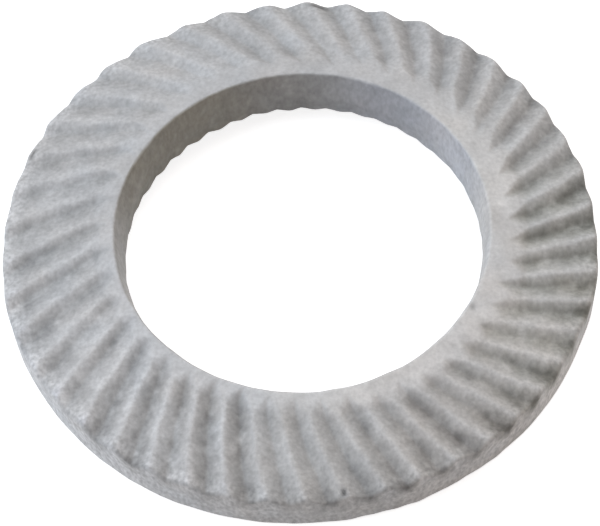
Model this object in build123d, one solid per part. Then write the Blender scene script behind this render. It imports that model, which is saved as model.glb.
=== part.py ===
from build123d import *
from math import cos, hypot, log, pi, radians, sin, tan
import os

# Ribbed conical lock washer: one dished spring-steel ring with slanted ribs on both faces.
# It lies on its rim, bore edge uppermost, with its axis along Z and the rim's lowest
# circle at z = 0. Each rib is a sawtooth: a gentle flank that slides as the screw is
# tightened, and a steep one that bites when it turns back.

# The ring: driving dimensions in mm and degrees
outer_diameter = 10.0  # over the widest circle of the rim
bore_diameter = 6.08  # through the cylindrical land, the narrowest part of the bore
bore_mouth_diameter = 6.24  # at the upper edge, where the punch's break flares out
bore_land = 0.40  # height of the cylindrical land above the bore's lower edge
thickness = 0.98  # square to the faces, crest to crest
dish_angle = 11.0  # slope of both faces, falling from the bore to the rim
rim_wall_lean = 5.0  # tilt of the rim wall, narrowest at the underside
bore_mouth_round = 0.04  # radius along the smooth upper edge of the bore
rim_foot_round = 0.11  # radius along the smooth lower edge of the rim
rim_top_chamfer = 0.06  # leg along each face, where the upper ribs run out
bore_foot_chamfer = 0.05  # leg along each face, where the lower ribs run out

# The ribs: grooves struck into both faces, with the face itself left as their crests
rib_count = 45  # on each face
rib_slant = 24.1  # between a rib and the radius, the same all along it
gentle_share = 0.52  # part of the pitch taken by the gentle flank, down to the valley
crest_share = 0.06  # part of the pitch left as a crest
valley_round = 0.08
upper_end_depth = 0.20  # of the upper grooves' vee, where they run out past the rim
upper_fade_depth = 0.10  # of the same, where they start to rise into the band
upper_fade_length = 0.43  # radial length of that rise
upper_band_width = 0.19  # smooth band between the bore's edge and the ribs' first rise
underside_bore_depth = 0.09  # of the lower grooves' vee, where they start at the bore
underside_end_depth = 0.06  # of the same, where they stop short of the band
underside_band_width = 0.42  # smooth band between the ribs and the rim's edge
die_offset = (0.35, -0.08)  # of the upper face's ribs from the washer's axis
band_offset = (0.17, 0.06)  # of the smooth band that they leave, from the same axis
first_rib_angle = 7.2  # turn of the upper face's ribs about their own centre
cutter_margin = 0.25  # how far a groove's cutter runs past the edges
cutter_brim = 0.01  # how far the cutter's flanks run out of the face
cutter_lid = 0.15  # how far the cutter stands out of the face

dish, slant = radians(dish_angle), radians(rib_slant)
rim_lean = radians(rim_wall_lean)


def rounding_shortfall(rounding, own_tilt, other_tilt):
    """How far a rounding falls short of the sharp corner that it replaces."""
    return rounding * ((cos(own_tilt) + sin(other_tilt)) / cos(own_tilt - other_tilt) - 1)


rim_radius = outer_diameter / 2 + rim_top_chamfer * sin(rim_lean)
rim_foot_radius = rim_radius - thickness * tan(rim_lean)
bore_radius, mouth_radius = bore_diameter / 2, bore_mouth_diameter / 2
foot_drop = rounding_shortfall(rim_foot_round, rim_lean, dish)
middle_radius = (outer_diameter + bore_diameter) / 4
rib_pitch = 2 * pi / rib_count


def underside_height(radius):
    """Height of the underside at a radius, at its ribs' crests."""
    return (rim_foot_radius - radius) * tan(dish) - foot_drop


def upper_height(radius):
    """Height of the upper face at a radius, at its ribs' crests."""
    return underside_height(radius) + thickness / cos(dish)


def make_ring():
    """The dished ring before its ribs are struck: its section, turned about Z."""
    rim_foot = Vector(rim_foot_radius, underside_height(rim_foot_radius))
    rim_top = Vector(rim_radius, upper_height(rim_radius))
    bore_mouth = Vector(mouth_radius, upper_height(mouth_radius))
    bore_foot = Vector(bore_radius, underside_height(bore_radius))
    land_top = bore_foot + Vector(0, bore_land)

    def chamfer_ends(corner, before, after, leg):
        return [corner + (end - corner).normalized() * leg for end in (before, after)]

    outline = FilletPolyline(
        rim_foot,
        *chamfer_ends(rim_top, rim_foot, bore_mouth, rim_top_chamfer),
        bore_mouth,
        land_top,
        *chamfer_ends(bore_foot, land_top, rim_foot, bore_foot_chamfer),
        radius=[rim_foot_round, 0, 0, bore_mouth_round, 0, 0, 0],
        close=True,
    )
    return revolve(Plane.XZ * make_face(outline), Axis.Z)


def groove_section(radius, turn, depth, lift, face_height, outward, centre):
    """Outline across one groove: a vee with a rounded valley, closed outside the face.

    It lies in the plane square to its radius from centre, at the angle turn, with its
    vee sunk depth below the face, and the whole of it then raised by lift."""
    along = Vector(cos(turn), sin(turn))
    across = Vector(-sin(turn), cos(turn))

    def place(share, sink):
        sideways = radius * tan((share + crest_share / 2 - 0.5) * rib_pitch)
        spot = Vector(*centre) + along * radius + across * sideways
        height = face_height(hypot(spot.X, spot.Y)) + outward * (lift - sink)
        return Vector(spot.X, spot.Y, height)

    def on_flank(crest_edge, sink):
        return crest_edge + (gentle_share - crest_edge) * sink / depth

    edges = [on_flank(crest_edge, -cutter_brim) for crest_edge in (0, 1 - crest_share)]
    left_brim, right_brim = [place(edge, -cutter_brim) for edge in edges]
    left_lid, right_lid = [place(edge, -cutter_lid) for edge in edges]
    vee = FilletPolyline(left_brim, place(gentle_share, depth), right_brim, radius=valley_round)
    lid = Polyline(right_brim, right_lid, left_lid, left_brim)
    return make_face([*vee.edges(), *lid.edges()])


def make_cutters(stations, face_height, outward, centre=(0, 0), start=0, shift=(0, 0)):
    """Cutters of one face's grooves. stations are (radius, depth, lift) along a groove,
    with radii about a circle that lies off the grooves' own centre by shift. outward is 1
    on the upper face, whose ribs turn anticlockwise as they go out, and -1 on the
    underside, which has the same pattern turned over."""

    def cutter(angle):
        nearer = shift[0] * cos(angle) + shift[1] * sin(angle)
        sections = [
            groove_section(
                radius + nearer,
                angle + outward * tan(slant) * log((radius + nearer) / middle_radius),
                depth, lift, face_height, outward, centre,
            )
            for radius, depth, lift in stations
        ]
        return loft(sections, ruled=True)

    return [cutter(start + number * rib_pitch) for number in range(rib_count)]


def make_upper_cutters():
    """Grooves that deepen towards the rim and rise out at the smooth band by the bore."""
    band_edge = mouth_radius + upper_band_width
    past_rim = rim_radius + hypot(*die_offset) + cutter_margin
    stations = [
        (past_rim, upper_end_depth, 0),
        (band_edge + upper_fade_length, upper_fade_depth, 0),
        (band_edge, upper_fade_depth, upper_fade_depth),
    ]
    shift = (band_offset[0] - die_offset[0], band_offset[1] - die_offset[1])
    return make_cutters(
        stations, upper_height, 1, die_offset, radians(first_rib_angle), shift
    )


def make_underside_cutters():
    """Grooves that start at the bore, grow shallower and stop at the smooth band."""
    stations = [
        (bore_radius - cutter_margin, underside_bore_depth, 0),
        (rim_foot_radius - underside_band_width, underside_end_depth, 0),
    ]
    return make_cutters(stations, underside_height, -1)


def make_washer():
    """The ring with both faces' grooves struck into it."""
    return make_ring() - [*make_upper_cutters(), *make_underside_cutters()]


os.makedirs("parts", exist_ok=True)
washer = make_washer()
washer.label = "ribbed_washer"
export_step(washer, "parts/ribbed_washer.step")
print("ribbed_washer", washer.volume, washer.bounding_box())
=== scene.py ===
"""A ribbed conical lock washer in coated spring steel, lying rim down on a pale floor."""

import bpy
import numpy as np
from mathutils import Matrix, Vector


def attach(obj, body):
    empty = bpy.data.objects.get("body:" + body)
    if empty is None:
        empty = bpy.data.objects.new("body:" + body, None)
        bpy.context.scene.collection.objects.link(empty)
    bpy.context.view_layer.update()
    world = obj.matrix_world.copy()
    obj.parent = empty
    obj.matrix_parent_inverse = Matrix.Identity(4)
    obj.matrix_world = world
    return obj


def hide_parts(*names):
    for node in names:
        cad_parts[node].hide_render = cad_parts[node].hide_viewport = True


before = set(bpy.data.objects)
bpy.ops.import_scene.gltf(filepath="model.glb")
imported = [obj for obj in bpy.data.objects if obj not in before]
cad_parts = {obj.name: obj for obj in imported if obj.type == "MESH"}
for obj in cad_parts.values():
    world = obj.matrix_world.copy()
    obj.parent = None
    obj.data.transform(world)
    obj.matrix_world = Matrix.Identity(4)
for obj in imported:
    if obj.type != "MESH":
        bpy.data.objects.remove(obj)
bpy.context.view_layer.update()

# ---------------------------------------------------------------------------------------
# The washer: one ring of hardened spring steel, blanked from strip, dished into a cone
# and struck on both faces with slanted sawtooth ribs. It is tumbled, then dipped in a
# zinc-flake paint that is spun off and baked on as a matt, grainy, pale grey coat.
# ---------------------------------------------------------------------------------------

MILLIMETRE = 0.001

# The ring, in millimetres and degrees
outer_diameter = 10.0
bore_diameter = 6.06
bore_mouth_diameter = 6.28
bore_land = 0.40  # height of the upright part of the bore's wall
thickness = 0.98
dish = np.radians(11.0)
rim_lean = np.radians(5.0)
bore_centre = (0.06, 0.045)  # of this washer's bore, from the axis of its rim

# The softening of its edges: radii, and the leg that the rim's upper edge loses
bore_foot_round = 0.06
land_top_round = 0.60
bore_mouth_round = 0.06
rim_top_round = 0.09
rim_foot_round = 0.11
rim_top_chamfer = 0.06

# The grid that carries the surface: columns run round the ring, 20 to a rib, and rows run
# round its section
columns = 900
lower_wall_rows, upper_wall_rows, face_rows, rim_rows, underside_rows = 6, 5, 42, 13, 20
edge_rows, land_top_rows = 5, 3

outer_radius, bore_radius = outer_diameter / 2, bore_diameter / 2
mouth_radius = bore_mouth_diameter / 2
rim_radius = outer_radius + rim_top_chamfer * np.sin(rim_lean)
rim_foot_radius = rim_radius - thickness * np.tan(rim_lean)
middle_radius = (outer_radius + bore_radius) / 2
# The washer stands on its rounded rim foot, which falls short of the sharp corner by this
foot_drop = rim_foot_round * (
    (np.cos(rim_lean) + np.sin(dish)) / np.cos(rim_lean - dish) - 1
)


def underside_height(radius):
    """Height of the underside's crests: a straight slope that falls to the rim's foot."""
    return (rim_foot_radius - radius) * np.tan(dish) - foot_drop


def upper_height(radius):
    """Height of the upper face's crests: the underside raised by the thickness."""
    return underside_height(radius) + thickness / np.cos(dish)


def edge_arc(before, edge, after, radius, rows):
    """Points round a softened edge: the arc of this radius that touches both lines from
    the edge to its neighbours. Its centre lies on their bisector, radius / sin(half their
    angle) from the edge, and the arc turns evenly from one touching point to the other."""
    to_before = (before - edge) / np.linalg.norm(before - edge)
    to_after = (after - edge) / np.linalg.norm(after - edge)
    half_angle = np.arccos(to_before @ to_after) / 2
    bisector = (to_before + to_after) / np.linalg.norm(to_before + to_after)
    centre = edge + bisector * radius / np.sin(half_angle)
    first = edge + to_before * radius / np.tan(half_angle) - centre
    last = edge + to_after * radius / np.tan(half_angle) - centre
    arc = np.pi - 2 * half_angle
    t = np.linspace(0, 1, rows)[:, None]
    return centre + (np.sin((1 - t) * arc) * first + np.sin(t * arc) * last) / np.sin(arc)


def run_between(start, end, rows):
    """Evenly spaced points strictly between two places of the section."""
    return start + (end - start) * np.linspace(0, 1, rows + 2)[1:-1, None]


def share_between(value, start, end):
    """How far a value has come from a start to an end, which may be the lower of the two:
    (value - start) / (end - start), kept between 0 and 1."""
    return np.clip((value - start) / (end - start), 0, 1)


def eased(t):
    """A share from 0 to 1 with a level start and end: 3t^2 - 2t^3."""
    return 3 * t**2 - 2 * t**3


change_over = 0.35  # how far past an edge one face's ribs still give way to the other's


def ring_section():
    """The closed section of the ring, as rows of (radius, height), from the bore's foot
    up its wall, out along the upper face, down the rim and back along the underside.

    With it come four shares per row: how much the row follows the upper face's ribs
    rather than the underside's, how far it sinks with the upper grooves, how far it rises
    with the lower ones, and how much of that movement leans in with the rim wall."""
    bore_foot = np.array([bore_radius, underside_height(bore_radius)])
    land_top = bore_foot + (0, bore_land)
    bore_mouth = np.array([mouth_radius, upper_height(mouth_radius)])
    rim_top = np.array([rim_radius, upper_height(rim_radius)])
    rim_foot = np.array([rim_foot_radius, underside_height(rim_foot_radius)])
    foot = edge_arc(rim_foot, bore_foot, land_top, bore_foot_round, edge_rows)
    land = edge_arc(bore_foot, land_top, bore_mouth, land_top_round, land_top_rows)
    mouth = edge_arc(land_top, bore_mouth, rim_top, bore_mouth_round, edge_rows)
    top = edge_arc(bore_mouth, rim_top, rim_foot, rim_top_round, edge_rows)
    heel = edge_arc(rim_top, rim_foot, bore_foot, rim_foot_round, edge_rows)
    lower_wall = run_between(foot[-1], land[0], lower_wall_rows)
    upper_wall = run_between(land[-1], mouth[0], upper_wall_rows)
    face = run_between(mouth[-1], top[0], face_rows)
    rim = run_between(top[-1], heel[0], rim_rows)
    underside = run_between(heel[-1], foot[0], underside_rows)
    rows = np.concatenate(
        [foot, lower_wall, land, upper_wall, mouth, face, top, rim, heel, underside]
    )

    travel = np.cumsum(np.hypot(*np.diff(rows, axis=0, prepend=rows[:1]).T))

    def travel_to(place):
        return travel[np.argmin(np.hypot(*(rows - place).T))]

    wall_start, wall_middle = travel_to(foot[-1]), travel_to(land[-1])
    face_start, face_end = travel_to(mouth[-1]), travel_to(top[0])
    rim_start, rim_middle = travel_to(top[-1]), travel_to((top[-1] + heel[0]) / 2)
    underside_start = travel_to(heel[-1])
    up_the_bore = share_between(travel, wall_middle, face_start + change_over)
    down_the_rim = share_between(travel, rim_middle, underside_start + change_over)
    follows_upper = eased(up_the_bore) - eased(down_the_rim)
    above_bore = travel >= travel_to(mouth[0])
    sinks = np.where(above_bore, 1 - share_between(travel, rim_start, rim_middle), 0)
    beneath = travel > underside_start
    rises = np.where(beneath, 1, 1 - share_between(travel, wall_start, wall_middle))
    leans = share_between(travel, face_end, rim_start)
    return rows, follows_upper, sinks, rises, leans


lattice_size = 64


def lumps(places, size, seed):
    """Smooth random heights between -1 and 1: seeded random values on a cubic lattice of
    this size, blended between a cell's eight corners by the eased curve."""
    lattice = np.random.default_rng(seed).uniform(-1, 1, (lattice_size,) * 3)
    cell = np.floor(places / size).astype(int)
    blend = eased(places / size - cell)
    total = 0
    for corner in np.ndindex(2, 2, 2):
        weight = np.prod(np.where(corner, blend, 1 - blend), axis=-1)
        total = total + weight * lattice[tuple(np.moveaxis((cell + corner) % lattice_size, -1, 0))]
    return total


def layered(places, layers):
    """Lumps of several sizes added up, where a layer is (size, height, seed)."""
    return sum(height * lumps(places, size, seed) for size, height, seed in layers)


def round_the_ring(angle, values):
    """A quantity that changes smoothly round the ring: its values at even steps from +X,
    every 30 degrees where there are twelve, eased from each to the next."""
    values = np.array(values, float)
    steps = np.degrees(angle) % 360 / (360 / len(values))
    last = np.floor(steps).astype(int)
    share = eased(steps - last).reshape(last.shape + (1,) * (values.ndim - 1))
    return values[last % len(values)] * (1 - share) + values[(last + 1) % len(values)] * share


def within_half_turn(angle):
    """The same angle, between minus and plus half a turn."""
    return (angle + np.pi) % (2 * np.pi) - np.pi


def radius_of(places):
    """Distance of each place from the washer's axis."""
    return np.hypot(places[..., 0], places[..., 1])


# The ribs, the same number on both faces. The die that struck the upper ones sat off the
# washer's axis.
rib_count = 45
slant = np.radians(24.1)  # between a rib and the radius, the same all along it
gentle_share = 0.52  # part of the pitch taken by the lower ribs' first flank
crest_share = 0.06  # part of the pitch left as a flat crest
valley_softness, crest_softness = 0.07, 0.045  # rounding, as shares of the depth
run_out_softness = 0.008  # rounding where a groove rises out of the face
die_centre = (0.35, -0.08)  # of the upper ribs
first_rib = np.radians(7.2)  # turn of the first of them about that centre
band_centre = (0.17, 0.06)  # of the smooth band that they leave round the bore
# Radii at which the upper grooves end and would be deepest, the length over which they
# rise to their end, and their depths where that starts and where they would be deepest
groove_end, deepest_radius, groove_fade = 3.35, 5.64, 0.30
inner_depth, outer_depth = 0.10, 0.20
# Of the lower grooves, two radii with the depths there, and where they start to rise
lower_radii, lower_depths = (2.79, 4.50), (0.09, 0.06)
lower_rise_start = 4.38
rib_pitch = 2 * np.pi / rib_count


def spiral_turn(radius):
    """Turn of a rib line at a radius, from where it crosses the middle radius: tan(slant)
    times ln(radius / middle radius), so that it keeps one slant all along."""
    return np.tan(slant) * np.log(radius / middle_radius)


def upper_rib_angle(turn, radius):
    """Angle about the washer's axis at which a rib line of the upper die passes a radius.
    The line is a spiral about the die's own centre, so the angle is stepped on, eight
    times, by whatever the line still lacks there."""
    angle = turn + spiral_turn(radius)
    for _ in range(8):
        x, y = radius * np.cos(angle) - die_centre[0], radius * np.sin(angle) - die_centre[1]
        lacking = turn + spiral_turn(np.hypot(x, y)) - np.arctan2(y, x)
        angle = angle + within_half_turn(lacking)
    return angle


def in_pitches(turn):
    """A turn counted in ribs: a whole number wherever a crest ends and a groove begins."""
    return turn / rib_pitch + 0.5 - crest_share / 2


def soft_least(a, b, softness):
    """The lesser of two values, with the corner where they cross rounded off: minus
    softness times the logarithm of exp(-a / softness) + exp(-b / softness)."""
    return -softness * np.logaddexp(-a / softness, -b / softness)


def soft_rise(value, softness):
    """The value where it is above 0 and 0 below, with the corner rounded off."""
    return -soft_least(-value, np.zeros_like(value), softness)


def sawtooth(pitches, lowest):
    """Depth of a groove across one pitch, from 0 on the crest to about 1 in the valley: one
    flank down to the lowest share, the other up to 94% and a flat crest after it, with the
    valley and the two crest edges rounded."""
    share = pitches % 1
    falling = share / lowest
    rising = (1 - crest_share - share) / (1 - crest_share - lowest)
    next_falling = (share - 1) / lowest
    vee = np.maximum(soft_least(falling, rising, valley_softness), next_falling)
    return soft_rise(vee, crest_softness)


# How the strike came out on this washer, in lists that go round the ring by 30 degrees
# from +X. Strikes are shares of the full depth at the grooves' inner and outer ends.
inner_strike = [1.08, 1.0, 0.92, 0.92, 0.80, 0.9, 0.95, 1.02, 1.08, 0.86, 0.86, 0.86]
outer_strike = [1.05, 0.95, 0.9, 0.85, 0.75, 0.62, 0.64, 0.8, 0.9, 1.1, 1.12, 1.08]
lower_strike = [0.6, 0.4, 0.6, 0.75, 1.1, 1.1, 1.1, 1.0, 1.0, 1.0, 1.0, 0.9]
strike_scatter, strike_seed = 0.10, 11
# Share of the pitch at which the upper grooves are lowest
lowest_share = [0.60, 0.52, 0.50, 0.48, 0.34, 0.26, 0.27, 0.36, 0.48, 0.52, 0.56, 0.60]
# How far the ribs crept round from the die's lines, in pitches, at the grooves' inner and
# outer ends, and more of it over the last fifth before the rim
inner_creep = [-0.02, -0.02, -0.02, -0.02, -0.08, -0.10, -0.09, -0.01, 0.03, 0.04, 0.04, 0.03]
outer_creep = [0.06, -0.04, -0.06, -0.03, -0.12, -0.15, -0.11, 0.0, 0.03, 0.03, 0.03, 0.05]
rim_creep = [0.0, -0.12, -0.12, -0.04, 0.0, 0.0, 0.0, 0.0, 0.0, 0.0, 0.0, 0.0]
rim_creep_start = 0.8
# Layers of lumps, (size, height, seed) each: the ribs' wander in pitches, and how ragged
# the smooth band's edge is in millimetres
wander_layers = [(0.9, 0.05, 1), (0.35, 0.035, 2), (0.18, 0.025, 10), (0.11, 0.02, 14)]
band_edge_layers = [(0.3, 0.06, 12)]


def strike_depths(turn, reach):
    """How deep each upper groove was struck, as a share of its full depth, for its place
    round the ring and 0 to 1 along it: the die sat unevenly, so that inner and outer ends
    change round the ring, and every groove has a seeded chance of its own at its inner
    end, middle and outer end, with straight lines between."""
    groove = np.floor(in_pitches(turn)).astype(int) % rib_count
    chance = np.random.default_rng(strike_seed).normal(1, strike_scatter, (3, rib_count))
    inner, middle, outer = chance[:, groove]
    inner = inner * round_the_ring(turn + first_rib, inner_strike)
    outer = outer * round_the_ring(turn + first_rib, outer_strike)
    middle = middle * (inner + outer) / 2
    return np.where(
        reach < 0.5,
        inner + (middle - inner) * 2 * reach,
        middle + (outer - middle) * (2 * reach - 1),
    )


def upper_grooves(places, turn, angle, wander):
    """How deep the upper grooves are at every place, and 0 to 1 along them. The sawtooth
    is scaled by a depth that grows straight from the inner end to past the rim, times its
    strike, and lifted out of the face over the fade before the inner end."""
    band_radius = np.hypot(places[..., 0] - band_centre[0], places[..., 1] - band_centre[1])
    band_radius = band_radius + layered(places, band_edge_layers)
    reach = share_between(band_radius, groove_end, rim_radius)
    fade_start = groove_end + groove_fade
    depth = np.interp(band_radius, [fade_start, deepest_radius], [inner_depth, outer_depth])
    lift = inner_depth * np.maximum((fade_start - band_radius) / groove_fade, 0)
    inner, outer = round_the_ring(angle, inner_creep), round_the_ring(angle, outer_creep)
    creep = inner * (1 - reach) + outer * reach
    creep = creep + round_the_ring(angle, rim_creep) * share_between(reach, rim_creep_start, 1)
    teeth = sawtooth(in_pitches(turn) + creep + wander, round_the_ring(angle, lowest_share))
    return soft_rise(depth * strike_depths(turn, reach) * teeth - lift, run_out_softness), reach


def lower_grooves(radius, turn, angle, wander):
    """How deep the underside's grooves are at every place: the sawtooth, scaled by a depth
    that shrinks straight from the bore outwards times its strike, and lifted out of the
    face at 45 degrees where it nears the rim."""
    depth = np.interp(radius, lower_radii, lower_depths) * round_the_ring(angle, lower_strike)
    teeth = sawtooth(in_pitches(turn + first_rib) + wander, gentle_share)
    lift = np.maximum(radius - lower_rise_start, 0)
    return soft_rise(depth * teeth - lift, run_out_softness)


# Faults and wear of this washer, in millimetres. The punch left a burr in the bore, from
# its mouth inwards, in a list that goes round by 30 degrees from +X.
bore_burr = [0.025, 0.0, 0.012, 0.012, 0.028, 0.045, 0.035, 0.01, 0.0, 0.0, 0.01, 0.01]
burr_zone = (mouth_radius + 0.01, mouth_radius - 0.07)
# The rim swells in places: angle in degrees, how far, and length round
rim_swellings = [(193.0, 0.042, 0.8), (347.0, 0.05, 0.6), (15.0, 0.02, 0.5)]
swelling_radius, swelling_width = 4.95, 0.3
# Tumbling dented it, near the rim by this many times as much
dent_layers = [(0.42, 0.010, 3), (0.19, 0.007, 4)]
rim_wear = [0.1, 1.9, 1.3, 2.2, 2.4, 1.3, 0.5, 0.4, 0.9, 1.6, 1.2, 0.4]
rim_wear_zone = (4.5, 4.8)
# Chips: angle, radius, length round, width out, how much darker they are, and their depth
chips = [
    (83.0, 4.88, 0.18, 0.05, 0.75, 0.03),
    (154.0, 4.92, 0.12, 0.04, 0.70, 0.03),
    (275.5, 4.88, 0.05, 0.09, 0.85, 0.04),
    (328.0, 3.26, 0.06, 0.05, 0.40, 0.01),
]


def bell(value, middle, width):
    """1 at the middle, and falling off on both sides: exp(-((value - middle) / width)^2)."""
    return np.exp(-(((value - middle) / width) ** 2))


def spot(angle, radius, spot_angle, spot_radius, length, width):
    """A soft spot on the ring: a bell over the way round, times a bell over the way out."""
    way_round = within_half_turn(angle - np.radians(spot_angle)) * spot_radius
    return bell(way_round, 0, length) * bell(radius, spot_radius, width)


def toned(share, angle, values):
    """A factor that goes by its share from 1 to the value at this part of the ring."""
    return 1 + share * (round_the_ring(angle, values) - 1)


def washer_surface():
    """Every place of the washer's skin before its dents, as columns by rows of (x, y, z)
    in millimetres, with its angle, 0 to 1 along the upper grooves, and how far the ribs
    moved it. Columns follow the rib lines, so that the grooves run along the grid. A place
    is its section's radius, less the rim wall's lean times the sink and less the burr, plus
    the swellings, turned to its angle, and then shifted with the bore by a share that
    fades out towards the rim. Its height is the section's, less the sink, plus the rise."""
    rows, follows_upper, sinks, rises, leans = ring_section()
    radius, height = np.broadcast_to(rows.T[:, None], (2, columns, len(rows)))
    turn = (np.arange(columns) * 2 * np.pi / columns)[:, None]
    upper_angle = upper_rib_angle(turn + first_rib, radius)
    lower_angle = turn + first_rib - spiral_turn(radius)
    angle = follows_upper * upper_angle + (1 - follows_upper) * lower_angle

    places = np.stack([radius * np.cos(angle), radius * np.sin(angle), height], -1)
    wander = layered(places, wander_layers)
    depth, reach = upper_grooves(places, turn, angle, wander)
    sink = depth * sinks
    rise = lower_grooves(radius, turn, angle, wander) * rises

    radius = radius - leans * np.tan(rim_lean) * sink
    shifted = share_between(radius, outer_radius, mouth_radius)
    burr = share_between(radius, *burr_zone)
    radius = radius - round_the_ring(angle, bore_burr) * burr
    for swelling_angle, swelling, length in rim_swellings:
        where = spot(angle, radius, swelling_angle, swelling_radius, length, swelling_width)
        radius = radius + swelling * where
    x = radius * np.cos(angle) + shifted * bore_centre[0]
    y = radius * np.sin(angle) + shifted * bore_centre[1]
    return np.stack([x, y, height - sink + rise], -1), angle, reach, sink + rise


def outward_normals(rows):
    """Unit normal of each row of the closed section, as (outwards, upwards): the direction
    from the row before to the row after, turned so that it points out of the steel."""
    along = np.roll(rows, -1, 0) - np.roll(rows, 1, 0)
    out = np.stack([-along[:, 1], along[:, 0]], -1)
    return out / np.linalg.norm(out, axis=1, keepdims=True)


def dent_depths(places, angle, upwards):
    """How far the skin lies below its smooth shape: seeded lumps that leave their highest
    places where they were, scaled by the rim's wear near the rim, and the chips."""
    radius = radius_of(places)
    depth = sum(height for _, height, _ in dent_layers) + layered(places, dent_layers)
    depth = depth * toned(share_between(radius, *rim_wear_zone), angle, rim_wear)
    for *mark, _, chip_depth in chips:
        depth = depth + chip_depth * np.clip(upwards, 0, 1) * spot(angle, radius, *mark)
    return depth


# The coat's levels, in lists that go round the ring by 30 degrees from +X. The first is of
# its own grey, with painted light and shade that change round the ring, and those of the
# band, the bore and the rim are times that: painted light on the band's front and on the
# rim wall, and painted shade on the band's back and on the bore's far wall.
coat_grey_and_painted_light = [0.595, 0.565, 0.55, 0.545, 0.56, 0.55, 0.56, 0.635, 0.615, 0.55, 0.57, 0.61]
band_painted_light = [1.06, 1.11, 1.0, 0.93, 0.92, 0.94, 1.0, 0.91, 0.99, 1.19, 1.17, 1.07]
bore_painted_shade = [1.08, 1.01, 0.77, 0.57, 0.55, 0.51, 0.70, 0.85, 0.99, 1.0, 1.0, 1.0]
rim_painted_light = [1.0, 1.1, 1.1, 1.1, 1.1, 1.1, 1.12, 1.08, 1.06, 1.02, 1.08, 1.20]
# Shares of that light which painted shade and dirt take: in the grooves, painted shade that
# deepens with them and dirt in patches, more painted shade at their inner ends, and painted
# shade along the rim's upper corner
groove_dirt_and_shade = [0.70, 0.50, 0.47, 0.40, 0.30, 0.46, 0.58, 0.60, 0.66, 0.40, 0.57, 0.62]
end_painted_shade = [0.25, 0.2, 0.0, 0.0, 0.0, 0.0, 0.1, 0.5, 0.5, 0.35, 0.2, 0.05]
corner_painted_shade = [0.2, 0.0, 0.0, 0.0, 0.0, 0.0, 0.1, 0.25, 0.3, 0.2, 0.12, 0.15]
# How much lighter the coat is near the rim, with less of the grooves' darkening there, or
# where it is below 0 darker, and the shares of light that painted highlights on the crests
# and at the rib ends add
rim_lightening = [-0.2, 0.0, 0.0, 0.0, 0.3, 0.7, 0.9, 0.5, 0.2, 0.0, -0.1, -0.3]
crest_painted_highlight = [0.0, 0.02, 0.0, 0.0, 0.0, 0.04, 0.04, 0.03, 0.06, 0.03, 0.0, 0.03]
end_painted_highlight = [0.0, 0.0, 0.0, 0.0, 0.04, 0.04, 0.08, 0.16, 0.14, 0.06, 0.0, 0.0]
# How much of the rim's coarser grain shows
rim_grain = [0.6, 0.5, 0.5, 0.6, 1.0, 1.0, 1.0, 1.0, 1.0, 1.0, 1.0, 0.8]
# Tints, as shares added to red, green and blue
plain, cool, warm = (0.0, 0.0, 0.0), (-0.01, 0.0, 0.02), (0.015, 0.0, -0.01)
olive, slate, brown = (0.02, 0.02, -0.12), (-0.02, 0.0, 0.0), (0.03, 0.0, -0.04)
blue_grey, brown_grey = (-0.02, 0.0, 0.07), (0.06, 0.0, -0.15)
faint_brown, cloud_warmth = (0.02, 0.0, -0.04), (0.015, 0.0, -0.015)
# The bluish tint of the painted highlights at the rib ends
painted_highlight_tint = (-0.1, 0.0, 0.3)
# The coat's tint round the ring is painted light: cool at the back and left, warm at the front
# right
painted_light_tint = [plain, plain, cool, cool, cool, cool, cool, cool, cool, plain, warm, warm]
# The tints of the dirt, and of the painted shade in the grooves
dirt_and_shade_hue = [olive, plain, plain, slate, slate, slate, slate, plain, brown, plain, brown, olive]
# The bore's tints are painted light: blue-grey on its right wall, lit from the left, and
# brown-grey on its shaded far wall
bore_painted_light_hue = [plain, blue_grey, blue_grey, faint_brown, brown_grey, brown_grey, faint_brown]
bore_painted_light_hue += [plain] * 5
# Patches, as layers of lumps
dirt_layers = [(0.38, 0.35, 5), (0.17, 0.3, 6), (0.10, 0.3, 15)]
cloud_layers = [(0.5, 0.07, 7), (0.22, 0.06, 8)]
warmth_layers = [(0.4, 1.0, 9)]
mouth_edge_layers = [(0.15, 0.25, 13)]
highlight_layers = [(0.2, 0.9, 16)]
corner_shade_layers = [(0.25, 0.9, 17)]
# Flecks: angle, radius, length round, width out, and how much darker they are
flecks = [
    (10.0, 4.90, 0.10, 0.06, 0.20),
    (18.0, 4.91, 0.10, 0.06, 0.20),
    (59.0, 3.48, 0.05, 0.05, 0.15),
    (68.5, 3.42, 0.04, 0.05, 0.12),
    (209.5, 3.67, 0.08, 0.10, 0.20),
    (217.5, 3.70, 0.08, 0.10, 0.15),
    (226.0, 3.82, 0.10, 0.12, 0.25),
    (226.5, 4.05, 0.06, 0.10, 0.15),
    (230.5, 4.55, 0.06, 0.12, 0.25),
    (283.0, 3.85, 0.09, 0.12, 0.30),
    (312.0, 3.95, 0.12, 0.10, 0.30),
    (314.5, 3.40, 0.06, 0.05, 0.18),
    (325.0, 3.57, 0.09, 0.07, 0.20),
    # And those that are lighter than the coat, in part painted glints
    (5.0, 3.43, 0.05, 0.08, -0.20),
    (92.0, 3.33, 0.12, 0.05, -0.10),
    (210.0, 4.55, 0.05, 0.10, -0.12),
    (217.0, 4.32, 0.06, 0.10, -0.12),
    (225.0, 4.25, 0.05, 0.12, -0.20),
    (229.5, 4.90, 0.08, 0.08, -0.15),
    (242.0, 4.88, 0.09, 0.08, -0.15),
    (248.0, 4.05, 0.05, 0.12, -0.12),
    (324.0, 4.19, 0.08, 0.10, -0.18),
]
full_dirt_and_shade_depth, dirt_and_shade_growth = 0.18, 0.8  # depth at which a groove holds all its dirt and painted shade
most_patchy, most_dirt_and_shade = 1.4, 0.7
inner_end, inner_end_length = 0.25, 0.12  # along the grooves, where painted shade gathers
rim_zone, grain_zone = (4.7, 4.9), (4.6, 4.95)  # radii over which each grows in
band_reach = 0.22  # along the grooves, where the smooth band's own level ends
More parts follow.
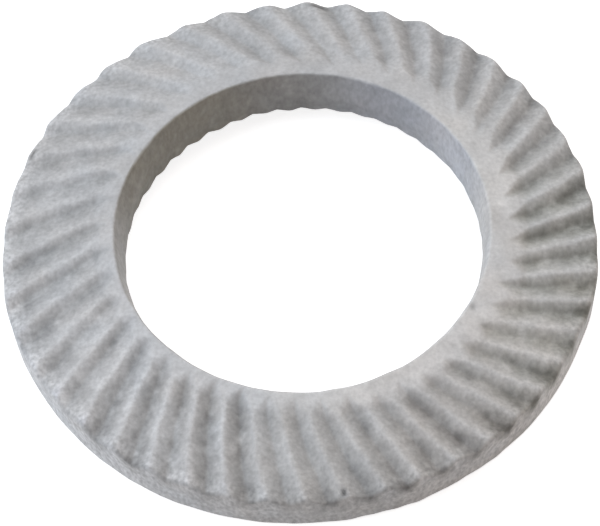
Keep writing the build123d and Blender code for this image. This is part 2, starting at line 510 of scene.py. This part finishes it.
crest_start = 0.3  # along the grooves, where the crests' painted highlight is full
crest_depth = 0.02  # how far the painted highlight reaches down the flanks
rim_lightening_gain = 0.06
facing, bore_facing = (0.3, 0.8), (0.35, 0.95)  # parts of a normal that point that way
corner_facing, corner_width = 0.65, 0.35  # the same for the rim's upper corner
highlight_base, most_highlight, corner_base = 0.6, 1.2, 0.5  # what their lumps vary about, at most
rim_grain_gain, band_grain_loss = 0.9, 0.35


def dirt_and_shade_in_grooves(places, angle, reach, moved, near_rim):
    """The share of the coat's level that grime and painted shade take: depth over full depth,
    to the power of its growth, which is painted shade that deepens into the grooves, times
    seeded patches of grime and more painted shade at the inner ends, times this part of the
    ring's share, and less of it near the rim where the rim is made lighter."""
    ends_darker = 1 + round_the_ring(angle, end_painted_shade) * bell(reach, inner_end, inner_end_length)
    patches = np.clip((1 + layered(places, dirt_layers)) * ends_darker, 0, most_patchy)
    dirt_and_shade = share_between(moved, 0, full_dirt_and_shade_depth) ** dirt_and_shade_growth * patches
    kept_near_rim = 1 - near_rim * round_the_ring(angle, rim_lightening)
    return dirt_and_shade * round_the_ring(angle, groove_dirt_and_shade) * kept_near_rim


def coat_colour_and_painted_light(places, angle, reach, moved, normals):
    """Colour of the coat at every place, with painted light and shade in it, and the strength
    of its grain.

    The colour is a grey level times a tint. The level is the coat's at this part of the ring,
    with painted light and shade round it, times broad clouds, what the grime and painted
    shade in the grooves leave, the painted light and shade of the smooth band, the bore and
    the rim, the chips and flecks, the lightening near the rim, painted highlights on the
    crests and at the rib ends, and painted shade along the rim's corner. The tint is the
    product of the tints of the grime and painted shade, the painted light on the bore, the
    coat's painted light round the ring with its faint clouds of warmth, and the painted
    highlights. The grain is stronger near the rim and weaker on the band."""
    radius = radius_of(places)
    outwards, upwards = normals.T
    on_face, on_rim = share_between(upwards, *facing), share_between(outwards, *facing)
    on_bore = share_between(layered(places, mouth_edge_layers) - outwards, *bore_facing)
    near_rim = share_between(radius, *rim_zone)
    band = share_between(reach, band_reach, 0) * on_face
    dirt_and_shade = dirt_and_shade_in_grooves(places, angle, reach, moved, near_rim)

    # The coat's grey, with painted light and shade round the ring
    level = round_the_ring(angle, coat_grey_and_painted_light) * (1 + layered(places, cloud_layers))
    # Painted shade and dirt in the grooves
    level = level * (1 - np.minimum(dirt_and_shade, most_dirt_and_shade))
    # Painted light and shade of the smooth band, the bore and the rim wall
    level = level * toned(band, angle, band_painted_light) * toned(on_bore, angle, bore_painted_shade)
    level = level * toned(on_rim, angle, rim_painted_light)
    for *mark, darkness in flecks + [chip[:-1] for chip in chips]:
        level = level * (1 - darkness * on_face * spot(angle, radius, *mark))
    # Lighter near the rim where its list is above 0, and darker where it is below
    level = level * (1 + rim_lightening_gain * near_rim * round_the_ring(angle, rim_lightening))
    # Painted highlight on the crests
    on_crest = on_face * np.exp(-moved / crest_depth) * share_between(reach, 0, crest_start)
    level = level * (1 + on_crest * round_the_ring(angle, crest_painted_highlight))
    # Painted highlight at the rib ends near the rim, bluish
    end_highlight = np.clip(highlight_base + layered(places, highlight_layers), 0, most_highlight) * on_crest * near_rim
    end_highlight = end_highlight * round_the_ring(angle, end_painted_highlight)
    # Painted shade along the rim's upper corner
    corner = bell(outwards, corner_facing, corner_width) * (upwards > 0)
    corner = corner * np.clip(corner_base + layered(places, corner_shade_layers), 0, 1)
    level = level * (1 + end_highlight) * (1 - corner * round_the_ring(angle, corner_painted_shade))

    warmth = layered(places, warmth_layers)[..., None] * cloud_warmth
    # Painted light tint round the coat
    hue = 1 + warmth + round_the_ring(angle, painted_light_tint)
    # Tint of the dirt and painted shade
    hue = hue * (1 + dirt_and_shade[..., None] * round_the_ring(angle, dirt_and_shade_hue))
    # Painted light tint on the bore
    hue = hue * (1 + on_bore[..., None] * round_the_ring(angle, bore_painted_light_hue))
    # Bluish tint of the painted highlights
    hue = hue * (1 + end_highlight[..., None] * painted_highlight_tint)
    grain = round_the_ring(angle, rim_grain) * share_between(radius, *grain_zone)
    grain = (1 + rim_grain_gain * grain) * (1 - band_grain_loss * band)
    return np.concatenate([level[..., None] * hue, grain[..., None]], -1)


def washer_mesh():
    """The washer as one closed grid, with quads between neighbouring columns and rows. The
    dents move its places in against the normals, and its colours, painted light and shade
    among them, are laid on its points."""
    places, angle, reach, moved = washer_surface()
    normals = outward_normals(ring_section()[0])
    outwards, upwards = normals.T
    out = np.stack(
        np.broadcast_arrays(outwards * np.cos(angle), outwards * np.sin(angle), upwards), -1
    )
    colours = coat_colour_and_painted_light(places, angle, reach, moved, normals)
    places = places - dent_depths(places, angle, upwards)[..., None] * out

    number = np.arange(angle.size).reshape(angle.shape)
    beside, below = np.roll(number, -1, 0), np.roll(number, -1, 1)
    quads = np.stack([number, below, np.roll(beside, -1, 1), beside], -1).reshape(-1, 4)
    mesh = bpy.data.meshes.new("ribbed_washer_skin")
    mesh.from_pydata((places * MILLIMETRE).reshape(-1, 3), [], quads)
    mesh.polygons.foreach_set("use_smooth", np.ones(len(quads), bool))
    coat = mesh.color_attributes.new("coat", "FLOAT_COLOR", "POINT")
    coat.data.foreach_set("color", colours.ravel().astype(np.float32))
    mesh.update()
    return mesh


# The coat's finish. A grain is (size in millimetres, detail, roughness) of a noise, and a
# middle is the part of its values that its contrast is spread over.
coat_roughness, coat_specular = 0.62, 0.35
fine_grain, fine_middle, fine_contrast = (0.07, 1, 0.5), (0.25, 0.75), 0.13
coarse_grain, coarse_middle, coarse_contrast = (0.16, 2, 0.6), (0.3, 0.7), 0.05
bump_grain, bump_height, bump_strength = (0.06, 3, 0.6), 0.012, 0.6
upright_stretch = 0.6  # the grain is drawn out in height, as the flakes lie upright


def zinc_flake_coat():
    """The baked coat. Its colour is the one laid on the mesh, times 1 plus a fine noise
    times the grain's strength, times a coarser noise about 1. A third noise raises bumps."""
    material = bpy.data.materials.new("zinc_flake_coat")
    material.use_nodes = True
    nodes, links = material.node_tree.nodes, material.node_tree.links
    shader = nodes["Principled BSDF"]
    shader.inputs["Roughness"].default_value = coat_roughness
    shader.inputs["Specular IOR Level"].default_value = coat_specular
    stretched = nodes.new("ShaderNodeMapping")
    stretched.inputs["Scale"].default_value = (1, 1, upright_stretch)
    links.new(nodes.new("ShaderNodeTexCoord").outputs["Object"], stretched.inputs["Vector"])

    def noise(size, detail, roughness):
        texture = nodes.new("ShaderNodeTexNoise")
        texture.inputs["Scale"].default_value = 1 / (size * MILLIMETRE)
        texture.inputs["Detail"].default_value = detail
        texture.inputs["Roughness"].default_value = roughness
        links.new(stretched.outputs["Vector"], texture.inputs["Vector"])
        return texture.outputs["Fac"]

    def spread(value, values, results):
        node = nodes.new("ShaderNodeMapRange")
        for name, number in zip(("From Min", "From Max", "To Min", "To Max"), values + results):
            node.inputs[name].default_value = number
        links.new(value, node.inputs["Value"])
        return node.outputs["Result"]

    def scaled(colour, value):
        node = nodes.new("ShaderNodeVectorMath")
        node.operation = "SCALE"
        links.new(colour, node.inputs[0])
        links.new(value, node.inputs["Scale"])
        return node.outputs["Vector"]

    laid = nodes.new("ShaderNodeAttribute")
    laid.attribute_name = "coat"
    fine = nodes.new("ShaderNodeMath")
    fine.operation = "MULTIPLY_ADD"
    fine_noise = spread(noise(*fine_grain), fine_middle, (-fine_contrast, fine_contrast))
    links.new(fine_noise, fine.inputs[0])
    links.new(laid.outputs["Alpha"], fine.inputs[1])
    fine.inputs[2].default_value = 1
    coarse_results = (1 - coarse_contrast, 1 + coarse_contrast)
    coarse = spread(noise(*coarse_grain), coarse_middle, coarse_results)
    grained = scaled(scaled(laid.outputs["Color"], fine.outputs[0]), coarse)
    links.new(grained, shader.inputs["Base Color"])

    bump = nodes.new("ShaderNodeBump")
    bump.inputs["Strength"].default_value = bump_strength
    bump.inputs["Distance"].default_value = bump_height * MILLIMETRE
    links.new(noise(*bump_grain), bump.inputs["Height"])
    links.new(bump.outputs["Normal"], shader.inputs["Normal"])
    return material


washer = bpy.data.objects.new("ribbed_washer_coated", washer_mesh())
bpy.context.scene.collection.objects.link(washer)
washer.data.materials.append(zinc_flake_coat())
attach(washer, "root")
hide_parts("ribbed_washer")

# ---------------------------------------------------------------------------------------
# The floor: a sheet of white card, large enough to fill the view from above. To camera,
# glossy and glass rays it is a little lighter than the lamps alone make it, and it keeps
# the washer's shadow.
# ---------------------------------------------------------------------------------------

floor_size = 0.6
card_level, card_roughness, card_glow = 0.70, 0.9, 0.78


def seen_directly(nodes, links):
    """1 for camera, glossy and glass rays and 0 for all others: the largest of the three
    kinds' own marks."""
    rays = nodes.new("ShaderNodeLightPath")
    seen = rays.outputs["Is Camera Ray"]
    for kind in ("Is Glossy Ray", "Is Transmission Ray"):
        larger = nodes.new("ShaderNodeMath")
        larger.operation = "MAXIMUM"
        links.new(seen, larger.inputs[0])
        links.new(rays.outputs[kind], larger.inputs[1])
        seen = larger.outputs[0]
    return seen


def white_card():
    """Pale matt card, with a faint glow for the rays that see it directly."""
    material = bpy.data.materials.new("white_card")
    material.use_nodes = True
    nodes, links = material.node_tree.nodes, material.node_tree.links
    card = nodes["Principled BSDF"]
    card.inputs["Base Color"].default_value = (card_level, card_level, card_level, 1)
    card.inputs["Roughness"].default_value = card_roughness
    card.inputs["Specular IOR Level"].default_value = 0.0
    glow = nodes.new("ShaderNodeMath")
    glow.operation = "MULTIPLY"
    glow.inputs[1].default_value = card_glow
    links.new(seen_directly(nodes, links), glow.inputs[0])
    card.inputs["Emission Color"].default_value = (1, 1, 1, 1)
    links.new(glow.outputs[0], card.inputs["Emission Strength"])
    return material


floor_edge = floor_size / 2
floor_corners = [
    (x * floor_edge, y * floor_edge, 0) for x, y in ((-1, -1), (1, -1), (1, 1), (-1, 1))
]
floor_sheet = bpy.data.meshes.new("floor_sheet")
floor_sheet.from_pydata(floor_corners, [], [(0, 1, 2, 3)])
floor = bpy.data.objects.new("floor", floor_sheet)
bpy.context.scene.collection.objects.link(floor)
floor.data.materials.append(white_card())

# ---------------------------------------------------------------------------------------
# The lamps: three soft boxes, at the left, behind and above, in a pale room. The room is
# white to camera, glossy and glass rays, and a warm grey to all others.
# ---------------------------------------------------------------------------------------

room_colour = (0.34, 0.295, 0.275)
lamp_distance, lamp_size = 0.12, 0.09
lamps = {  # towards (azimuth from +X, height above the floor), level, colour
    "lamp_left": (180, 42, 0.56, (0.79, 0.90, 1.0)),
    "lamp_behind": (52, 45, 0.27, (1.0, 1.0, 0.97)),
    "lamp_above": (0, 89.9, 0.14, (0.92, 0.97, 1.0)),
}


def soft_box(name, azimuth, height, level, colour):
    """A square lamp on a sphere about the washer, facing it. Its power is pi squared times
    its distance squared times its level, at which a level of 1 shows a colour as written."""
    data = bpy.data.lights.new(name, "AREA")
    data.shape = "SQUARE"
    data.size = lamp_size
    data.energy = np.pi**2 * lamp_distance**2 * level
    data.color = colour
    lamp = bpy.data.objects.new(name, data)
    azimuth, height = np.radians([azimuth, height])
    level_part = np.cos(height)
    towards = Vector((np.cos(azimuth) * level_part, np.sin(azimuth) * level_part, np.sin(height)))
    lamp.location = towards * lamp_distance
    lamp.rotation_euler = towards.to_track_quat("Z", "Y").to_euler()
    bpy.context.scene.collection.objects.link(lamp)


for lamp_name, facts in lamps.items():
    soft_box(lamp_name, *facts)


def pale_room():
    """A world that mixes from the room's colour to white for the rays that see it."""
    room = bpy.data.worlds.new("pale_room")
    room.use_nodes = True
    nodes, links = room.node_tree.nodes, room.node_tree.links
    mix = nodes.new("ShaderNodeMix")
    mix.data_type = "RGBA"
    factor, from_colour, to_colour = (mix.inputs[place] for place in (0, 6, 7))
    from_colour.default_value = (*room_colour, 1)
    to_colour.default_value = (1, 1, 1, 1)
    links.new(seen_directly(nodes, links), factor)
    links.new(mix.outputs[2], nodes["Background"].inputs["Color"])
    nodes["Background"].inputs["Strength"].default_value = 1
    return room


bpy.context.scene.world = pale_room()

# ---------------------------------------------------------------------------------------
# The camera: a long lens close over the washer, looking down on it at 58 degrees and held
# slightly turned.
# ---------------------------------------------------------------------------------------

camera_distance = 90 * MILLIMETRE
camera_height = np.radians(57.81)
camera_roll = np.radians(-3.68)
camera_offset = (-0.017 * MILLIMETRE, 0.174 * MILLIMETRE)  # to its right and upwards
lens_length, sensor_width = 318.8, 36

across = Vector((1, 0, 0))
upward = Vector((0, np.sin(camera_height), np.cos(camera_height)))
towards_washer = Vector((0, np.cos(camera_height), -np.sin(camera_height)))
right = across * np.cos(camera_roll) + upward * np.sin(camera_roll)
up = upward * np.cos(camera_roll) - across * np.sin(camera_roll)
camera_data = bpy.data.cameras.new("camera")
camera_data.lens = lens_length
camera_data.sensor_width = sensor_width
camera_data.clip_start = 0.005
camera_data.clip_end = 5
camera = bpy.data.objects.new("camera", camera_data)
stand = right * camera_offset[0] + up * camera_offset[1] - towards_washer * camera_distance
turned = Matrix((right, up, -towards_washer)).transposed().to_4x4()
camera.matrix_world = Matrix.Translation(stand) @ turned
bpy.context.scene.collection.objects.link(camera)
bpy.context.scene.camera = camera

bpy.context.scene.view_settings.view_transform = "Standard"
